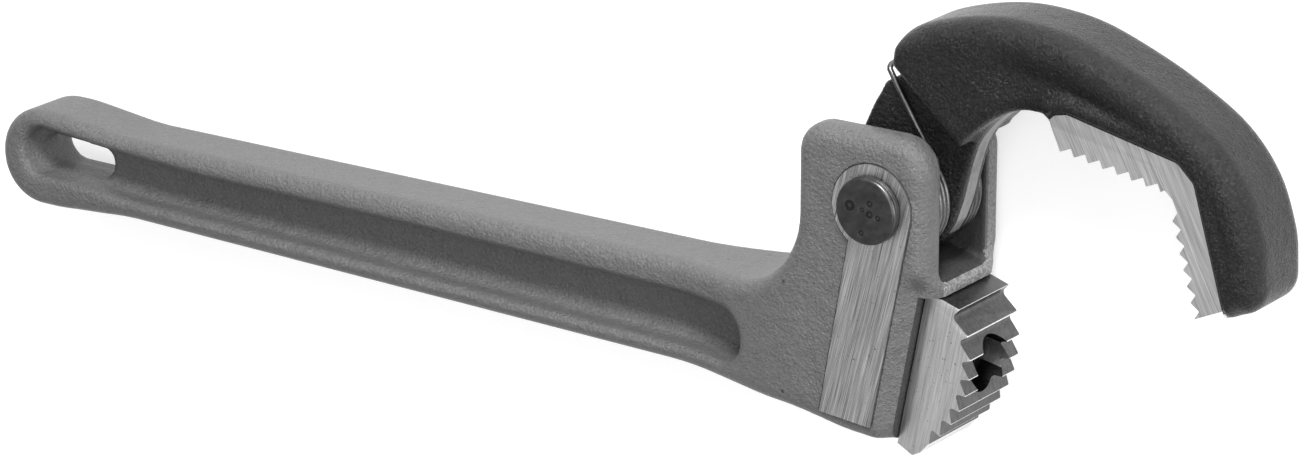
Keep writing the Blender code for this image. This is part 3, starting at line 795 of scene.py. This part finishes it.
# %% Enamel
def enamel(name, colour, pit_colour, grain, height, gloss, fleck=None, index=1.5):
    """Semi-gloss enamel over a rough casting; grain and height are in millimetres."""
    finish = bpy.data.materials.new(name)
    finish.use_nodes = True
    tree = finish.node_tree
    shader = tree.nodes["Principled BSDF"]
    place = add(tree, "ShaderNodeTexCoord").outputs["Object"]
    skin_noise = add(tree, "ShaderNodeTexNoise", {},
                     {"Vector": place, "Scale": per_mm(grain), "Detail": 4.0,
                      "Roughness": 0.6, "Distortion": 0.3})
    lumps = add(tree, "ShaderNodeTexNoise", {},
                {"Vector": place, "Scale": per_mm(grain * 7), "Detail": 2.0})
    relief = add(tree, "ShaderNodeMath", {"operation": "MULTIPLY_ADD"},
                 {0: lumps.outputs["Fac"], 1: 1.2, 2: skin_noise.outputs["Fac"]})
    bump = add(tree, "ShaderNodeBump", {}, {"Height": relief.outputs["Value"],
                                            "Distance": height * MM, "Strength": 1.0})
    pits = add(tree, "ShaderNodeTexNoise", {},
               {"Vector": place, "Scale": per_mm(grain * 1.5), "Detail": 1.0})
    pit_mask = add(tree, "ShaderNodeMapRange", {},
                   {"Value": pits.outputs["Fac"], "From Min": 0.26, "From Max": 0.20})
    shade_range = add(tree, "ShaderNodeMapRange", {},
                      {"Value": skin_noise.outputs["Fac"], "From Min": 0.35, "From Max": 0.65})
    base = add(tree, "ShaderNodeMix", {"data_type": "RGBA"},
               {0: shade_range.outputs["Result"], 6: linear(colour[0]),
                7: linear(colour[1])})
    pitted = add(tree, "ShaderNodeMix", {"data_type": "RGBA"},
                 {0: pit_mask.outputs["Result"], 6: base.outputs[2], 7: linear(pit_colour)})
    final = pitted.outputs[2]
    if fleck:
        flecks = add(tree, "ShaderNodeTexNoise", {},
                     {"Vector": place, "Scale": per_mm(0.55), "Detail": 2.0})
        fleck_mask = add(tree, "ShaderNodeMapRange", {},
                         {"Value": flecks.outputs["Fac"], "From Min": 0.66,
                          "From Max": 0.76, "To Max": 0.7})
        final = add(tree, "ShaderNodeMix", {"data_type": "RGBA"},
                    {0: fleck_mask.outputs["Result"], 6: final,
                     7: linear(fleck)}).outputs[2]
    rough = add(tree, "ShaderNodeMapRange", {},
                {"Value": skin_noise.outputs["Fac"], "To Min": gloss - 0.08,
                 "To Max": gloss + 0.10})
    tree.links.new(final, shader.inputs["Base Color"])
    tree.links.new(rough.outputs["Result"], shader.inputs["Roughness"])
    tree.links.new(bump.outputs["Normal"], shader.inputs["Normal"])
    shader.inputs["IOR"].default_value = index
    return finish


grey_enamel = enamel("grey_tool_enamel", ("#505050", "#5C5C5C"), "#404040", 0.75, 0.55, 0.42)
# Enamel in the slot, on the seat's face and in the groove round each pad: darker, as painted
# shade where those hollows and steps lie in shadow.
painted_shade_enamel = enamel("enamel_darkened_as_painted_shade", ("#262626", "#343434"), "#161616", 0.7, 0.30, 0.60)
# Enamel on the faces that look towards the head's end: lighter, as a painted reflection of the
# light on that side.
painted_reflection_enamel = enamel("enamel_lightened_as_painted_reflection", ("#5A5A5A", "#8C8C8C"), "#303030", 0.8, 0.80, 0.5)
black_enamel = enamel("black_tool_enamel", ("#0C0C0C", "#1C1C1C"), "#080808", 0.7, 0.50, 0.25,
                      fleck="#4A4A4A", index=1.33)

# %% [markdown]
# ## Ground, milled and turned steel
#
# Bare steel takes the marks of the tool that cut it. A grinding wheel or a mill leaves
# straight scratches all in one direction, so the noise is stretched along them: narrow
# across, in tenths of a millimetre, and long the other way. The scratches change the gloss,
# the height and, a little, the colour.

# %% Steel
def scratched_steel(name, colour, angle, width, length, gloss, height=0.02, stain=0.0):
    """Steel with straight tool marks; angle in degrees, sizes in millimetres."""
    finish = bpy.data.materials.new(name)
    finish.use_nodes = True
    tree = finish.node_tree
    shader = tree.nodes["Principled BSDF"]
    place = add(tree, "ShaderNodeTexCoord").outputs["Object"]
    turned_place = add(tree, "ShaderNodeMapping", {},
                       {"Vector": place, "Rotation": (0, 0, math.radians(-angle))})
    long_way = add(tree, "ShaderNodeMapping", {},
                   {"Vector": turned_place.outputs["Vector"],
                    "Scale": (per_mm(length), per_mm(width), per_mm(width))})
    marks = add(tree, "ShaderNodeTexNoise", {},
                {"Vector": long_way.outputs["Vector"], "Scale": 1.0, "Detail": 5.0,
                 "Roughness": 0.65})
    coarse_way = add(tree, "ShaderNodeMapping", {},
                     {"Vector": turned_place.outputs["Vector"],
                      "Scale": (per_mm(length * 3), per_mm(width * 6), per_mm(width * 6))})
    bands = add(tree, "ShaderNodeTexNoise", {},
                {"Vector": coarse_way.outputs["Vector"], "Scale": 1.0, "Detail": 2.0})
    mix = add(tree, "ShaderNodeMath", {"operation": "MULTIPLY_ADD"},
              {0: bands.outputs["Fac"], 1: 0.3, 2: marks.outputs["Fac"]})
    spread = add(tree, "ShaderNodeMapRange", {},
                 {"Value": mix.outputs["Value"], "From Min": 0.48, "From Max": 0.82})
    tint = add(tree, "ShaderNodeMix", {"data_type": "RGBA"},
               {0: spread.outputs["Result"], 6: linear(colour[0]), 7: linear(colour[1])})
    final = tint.outputs[2]
    if stain:
        spots = add(tree, "ShaderNodeTexNoise", {},
                    {"Vector": place, "Scale": per_mm(1.1), "Detail": 3.0,
                     "Distortion": 1.5})
        spot_mask = add(tree, "ShaderNodeMapRange", {},
                        {"Value": spots.outputs["Fac"], "From Min": 0.33,
                         "From Max": 0.27, "To Max": stain})
        final = add(tree, "ShaderNodeMix", {"data_type": "RGBA"},
                    {0: spot_mask.outputs["Result"], 6: final,
                     7: linear("#3A3A3A")}).outputs[2]
    rough = add(tree, "ShaderNodeMapRange", {},
                {"Value": marks.outputs["Fac"], "From Min": 0.3, "From Max": 0.7,
                 "To Min": gloss - 0.08, "To Max": gloss + 0.10})
    bump = add(tree, "ShaderNodeBump", {}, {"Height": mix.outputs["Value"],
                                            "Distance": height * MM, "Strength": 1.0})
    tree.links.new(final, shader.inputs["Base Color"])
    tree.links.new(rough.outputs["Result"], shader.inputs["Roughness"])
    tree.links.new(bump.outputs["Normal"], shader.inputs["Normal"])
    shader.inputs["Metallic"].default_value = 1.0
    return finish


# Freshly ground sides of the hook's teeth: a coarse wheel, streaks run down and forward.
ground_lining = scratched_steel("ground_lining_steel", ("#B0B0B0", "#F2F2F2"), -62, 0.16, 12,
                                0.36, 0.02)
# Trimmed front edge of the hook's tang: bare and coarse.
trimmed_edge = scratched_steel("trimmed_forging_steel", ("#6E6E6E", "#9C9C9C"), 70, 0.3, 1.5,
                               0.42, 0.05)
# Ground sides of the heel jaw: finer, along the block, with a few dark pits.
ground_heel = scratched_steel("ground_heel_steel", ("#C0C0C0", "#F0F0F0"), 79, 0.15, 10,
                              0.34, 0.015, stain=0.8)
# Milled pads: the cutter's marks run down the strip.
milled_pad = scratched_steel("milled_pad_steel", ("#707070", "#E4E4E4"), 76, 0.14, 14, 0.38,
                             0.025, stain=0.7)
# Toothed faces: hardened and blacked, with faint marks across the block.
blacked_teeth = scratched_steel("black_oxide_steel", ("#4A4A4A", "#646464"), 90, 0.8, 2.5,
                                0.36, 0.03)
# The pin: turned, heat-blacked and handled, so nearly even.
blacked_pin = scratched_steel("heat_blacked_steel", ("#4C4C4C", "#5A5A5A"), 20, 2.2, 3.0,
                              0.34, 0.006)
# Inside the heel jaw's counterbore and on its screw: steel darkened as painted shade of the deep
# hole.
painted_shade_steel = scratched_steel("steel_darkened_as_painted_shade", ("#1A1A1A", "#262626"), 0, 0.5, 2, 0.5, 0.02)
# The dents in the pin's head: the pin's steel darkened as painted shade in the hollows.
dent_painted_shade_steel = scratched_steel("pin_steel_darkened_as_painted_shade_in_dents", ("#323232", "#3E3E3E"), 20, 2.2, 3.0, 0.4,
                             0.006)
bright_steel = scratched_steel("bright_turned_steel", ("#9A9A9A", "#B8B8B8"), 0, 0.5, 3,
                               0.32, 0.01)
# The spring wire: its own steel colour, made darker as painted shade where the coils lie between
# the ears.
wire_with_painted_shade = scratched_steel("spring_wire_darkened_as_painted_shade", ("#4C4C4C", "#747474"), 60, 0.2, 9, 0.34,
                              0.005)
bush_bronze = scratched_steel("sintered_bronze", ("#8A6A42", "#A88656"), 0, 0.4, 0.6,
                              0.45, 0.02)

# %% [markdown]
# ## The spring
#
# A double torsion spring pushes the jaw closed. It is one wire: a loop that crosses behind
# the jaw, a coil on each side of the tang, and a tail at each end that rests in the slot. A
# wire is the plainest case for Geometry Nodes: its middle line, given as points, becomes a
# curve, and a circle is swept along it.
#
# In use the loop goes with the jaw while the tails stay in the handle. So each half is its
# own mesh.

# %% Wire tree
def wire_tree():
    """A round wire swept along a line of points."""
    tree = bpy.data.node_groups.new("round_wire", "GeometryNodeTree")
    face = tree.interface
    face.new_socket("Line", in_out="INPUT", socket_type="NodeSocketGeometry")
    face.new_socket("Wire radius", in_out="INPUT", socket_type="NodeSocketFloat")
    face.new_socket("Sides", in_out="INPUT", socket_type="NodeSocketInt")
    face.new_socket("Finish", in_out="INPUT", socket_type="NodeSocketMaterial")
    face.new_socket("Wire", in_out="OUTPUT", socket_type="NodeSocketGeometry")
    start = add(tree, "NodeGroupInput")
    line = add(tree, "GeometryNodeMeshToCurve", {}, {"Mesh": start.outputs["Line"]})
    circle = add(tree, "GeometryNodeCurvePrimitiveCircle", {},
                 {"Resolution": start.outputs["Sides"],
                  "Radius": start.outputs["Wire radius"]})
    tube = add(tree, "GeometryNodeCurveToMesh", {},
               {"Curve": line.outputs["Curve"], "Profile Curve": circle.outputs["Curve"],
                "Fill Caps": True})
    real = add(tree, "GeometryNodeRealizeInstances", {}, {"Geometry": tube.outputs["Mesh"]})
    coloured = add(tree, "GeometryNodeSetMaterial", {},
                   {"Geometry": real.outputs["Geometry"],
                    "Material": start.outputs["Finish"]})
    add(tree, "NodeGroupOutput", {}, {"Wire": coloured.outputs["Geometry"]})
    return tree


# %% Middle line of the spring
WIRE_R, COIL_R, COIL_TURNS = 0.7, 12.4, 2.33
LOOP, TAIL_END = Vector((-3.7, 29.6)), Vector((-10.0, -13.2))
coil_in, coil_out = TANG_HALF + GAP + WIRE_R, SLOT_HALF - GAP - WIRE_R


def half_line():
    """Points of one half in millimetres, from the middle of the loop to the tail."""
    leave = math.atan2(LOOP.y, LOOP.x) - math.acos(COIL_R / LOOP.length)
    contact = Vector((math.cos(leave), math.sin(leave))) * COIL_R
    points = [(*LOOP, h * coil_in) for h in (0, 0.28, 0.55)]
    points += [(LOOP.x + 0.04, LOOP.y - 0.08, coil_in * 0.72),
               (LOOP.x + 0.20, LOOP.y - 0.40, coil_in * 0.88),
               (LOOP.x + 0.48, LOOP.y - 0.92, coil_in * 0.97)]
    for k in range(1, 9):
        points.append((*LOOP.lerp(contact, 0.06 + 0.94 * k / 9), coil_in))
    count = round(COIL_TURNS * 48)
    for k in range(count + 1):
        angle = leave - math.tau * COIL_TURNS * k / count
        points.append((COIL_R * math.cos(angle), COIL_R * math.sin(angle),
                       coil_in + (coil_out - coil_in) * k / count))
    last = Vector(points[-1][:2])
    return points + [(*last.lerp(TAIL_END, t), coil_out) for t in (0.25, 0.5, 0.75, 1.0)]


print("wire of one half:", len(half_line()), "points")

# %% Sweep the two halves
wire = wire_tree()
springs = []
for name, side in (("jaw_spring_near", 1), ("jaw_spring_far", -1)):
    points = [(x * MM, y * MM, (REST + side * z) * MM) for x, y, z in half_line()]
    mesh = bpy.data.meshes.new(name)
    mesh.from_pydata(points, [(k, k + 1) for k in range(len(points) - 1)], [])
    spring = bpy.data.objects.new(name, mesh)
    bpy.context.collection.objects.link(spring)
    modifier = spring.modifiers.new("wire", "NODES")
    modifier.node_group = wire
    set_input(modifier, "Wire radius", WIRE_R * MM)
    set_input(modifier, "Sides", 14)
    # The wire's steel is darkened as painted shade.
    set_input(modifier, "Finish", wire_with_painted_shade)
    applied(spring)
    shade(spring, 60)
    springs.append(spring)

# %% [markdown]
# ## Which face gets which finish
#
# A casting is painted all over, and machining then bares the steel. So after the Booleans
# each face is asked where it is and which way it looks. Faces on a milled plane, or inside
# the ground outline of the toothed section, get bare steel. The slot, the seat's face and the
# groove round each pad get darker enamel as painted shade, the lip's and the far ear's faces
# that look towards the head's end get lighter enamel as a painted reflection of the light on
# that side, and the rest keep their full coat. A face with a hole through it has its centre
# in the hole, so the counterbore's faces are told by their direction too.

# %% Assign finishes by place
def face_places(piece):
    """Centres in millimetres about the pivot, and normals, of a piece's faces."""
    faces = piece.data.polygons
    centres, normals = np.empty(len(faces) * 3), np.empty(len(faces) * 3)
    faces.foreach_get("center", centres)
    faces.foreach_get("normal", normals)
    return centres.reshape(-1, 3) / MM - [0, 0, REST], normals.reshape(-1, 3)


def finish_faces(piece, finishes, chosen):
    """Give a piece its finishes; chosen says which one each face gets."""
    piece.data.materials.clear()
    for finish in finishes:
        piece.data.materials.append(finish)
    piece.data.polygons.foreach_set("material_index", chosen.astype(np.int32))
    piece.data.update()
    print(piece.name, [int((chosen == k).sum()) for k in range(len(finishes))])


# Bounds of each place, in millimetres about the pivot.
SLOT_LOW, SLOT_BACK = -17.9, -15.5
LIP_FRONT, LIP_TOP, LIP_LOW, RIM_FRONT = 12, -14.5, SEAT_TOP[1] - 0.5, 11
TRIM_HALF, TRIM_X, TRIM_Y = 2.1, (10, 27), (-8, 24)
DENTED_R = 6.2
ON_PLANE = 0.05          # a face this near to a plane counts as lying on it

centres, normals = face_places(handle)
px, py, pz = centres.T
on_pad = np.abs(pz) > PAD_HALF - 0.02
in_slot = (np.abs(pz) < SLOT_HALF + 0.3) & (py > SLOT_LOW) & (px > SLOT_BACK)
faces_out = normals @ SEAT_OUT > 0.97
on_seat_face = (faces_out & (np.abs(out_of_seat(px, py) + GAP) < ON_PLANE)
                & (py < SEAT_TOP[1] + 1))
# The lip and the far ear's front rim, where they face the head's end, get lighter enamel as a
# painted reflection.
lip = ((px > LIP_FRONT) & (np.abs(pz) < SLOT_HALF + 0.6) & (py < LIP_TOP)
       & (py > LIP_LOW) & (normals[:, 0] > 0.35))
far_rim = (pz < -SLOT_HALF) & (px > RIM_FRONT) & (normals[:, 0] > 0.75) & (py > LIP_LOW)
in_groove = (np.abs(np.abs(pz) - EAR_HALF + 0.15) < 0.01) & (np.abs(normals[:, 2]) > 0.99)
# Slot, seat face and pad groove get the darker enamel as painted shade.
chosen = np.select([on_pad, lip | far_rim, in_slot | on_seat_face | in_groove], [1, 3, 2], 0)
finish_faces(handle, [grey_enamel, milled_pad, painted_shade_enamel, painted_reflection_enamel], chosen)

centres, normals = face_places(hook)
px, py, pz = centres.T
in_ground = outline_field(GROUND, px, py) < 0.02
machined = in_ground & (np.abs(pz) < LINING_HALF + 0.02)
in_bore = np.hypot(px, py) < BUSH_R + GAP + 0.1
trimmed = ((np.abs(pz) < TRIM_HALF) & (normals[:, 0] > 0.5) & (px > TRIM_X[0])
           & (px < TRIM_X[1]) & (py > TRIM_Y[0]) & (py < TRIM_Y[1]))
finish_faces(hook, [black_enamel, ground_lining, bright_steel, trimmed_edge],
             np.select([machined, in_bore, trimmed], [1, 2, 3], 0))

centres, normals = face_places(heel)
px, py, pz = centres.T
sides = np.abs(normals[:, 2]) > 0.9
crest = (np.hypot(px - HEEL_CENTRE[0], py - HEEL_CENTRE[1]) > HEEL_TIP_R - 0.12) & ~sides
screw_x, screw_y = seat_point(SCREW_DOWN, 0)
along = (px - screw_x) * math.sin(SEAT_TILT) + (py - screw_y) * math.cos(SEAT_TILT)
on_wall = np.abs(normals @ SEAT_OUT) < 0.05
on_floor = np.abs(out_of_seat(px, py) - SCREW_BOARD) < ON_PLANE
near_screw = np.hypot(along, pz) < COUNTERBORE_R + ON_PLANE
# The counterbore's walls and floor get the steel darkened as painted shade.
in_bore = (on_wall | on_floor) & near_screw & ~sides
finish_faces(heel, [blacked_teeth, ground_heel, painted_shade_steel],
             np.select([in_bore, sides | crest], [2, 1], 0))

centres, normals = face_places(pin)
px, py, pz = centres.T
# The dents' faces get darker steel as painted shade.
dented = (pz > HEAD_TOP - 0.1) & (np.hypot(px, py) < DENTED_R)
dented &= normals[:, 2] < 0.999
finish_faces(pin, [blacked_pin, dent_painted_shade_steel], dented)

# %% [markdown]
# ## Put the pieces on the CAD's bodies
#
# Each new piece but the spring stands for a CAD node, which is then hidden but still
# collides, and it rides on that node's body. The spring's two halves take the place of the
# CAD's spring, which is hidden too. The small parts whose CAD shape is already right keep it
# and only get a finish.

# %% Ride and replace
STANDS_FOR = {
    handle: ("handle", "handle_body", "grey_enamel"),
    heel: ("heel_jaw", "handle_body", "black_oxide"),
    pin: ("pivot_pin", "handle_body", "pin_steel"),
    hook: ("hook_jaw", "jaw_body", "black_enamel"),
}
for piece, (node, body, slot_name) in STANDS_FOR.items():
    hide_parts(node)
    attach(piece, body)

for spring, side in zip(springs, (1, -1)):
    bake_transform(spring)
    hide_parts("jaw_spring")

CARRIED = {
    "tang_bush": bush_bronze,
    # The screw down in the counterbore: the same steel darkened as painted shade.
    "heel_jaw_screw": painted_shade_steel,
    "heel_jaw_lock_washer": bright_steel,
    "heel_jaw_dowel_lower": bright_steel,
    "heel_jaw_dowel_upper": bright_steel,
    "pivot_washer": bright_steel,
    "retaining_ring": blacked_pin,
    "spring_sleeve_near": bright_steel,
    "spring_sleeve_far": bright_steel,
}
for node, finish in CARRIED.items():
    carried = frame["nodes"][node]
    carried.data.materials.clear()
    carried.data.materials.append(finish)

# %% [markdown]
# ## Size and finish
#
# The visual model has to keep to the CAD's box, so the last line prints its size.

# %% Sizes and finish
bpy.data.materials.remove(steel_stock)
low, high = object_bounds()
print("size in mm:", [round(v / MM, 1) for v in high - low])
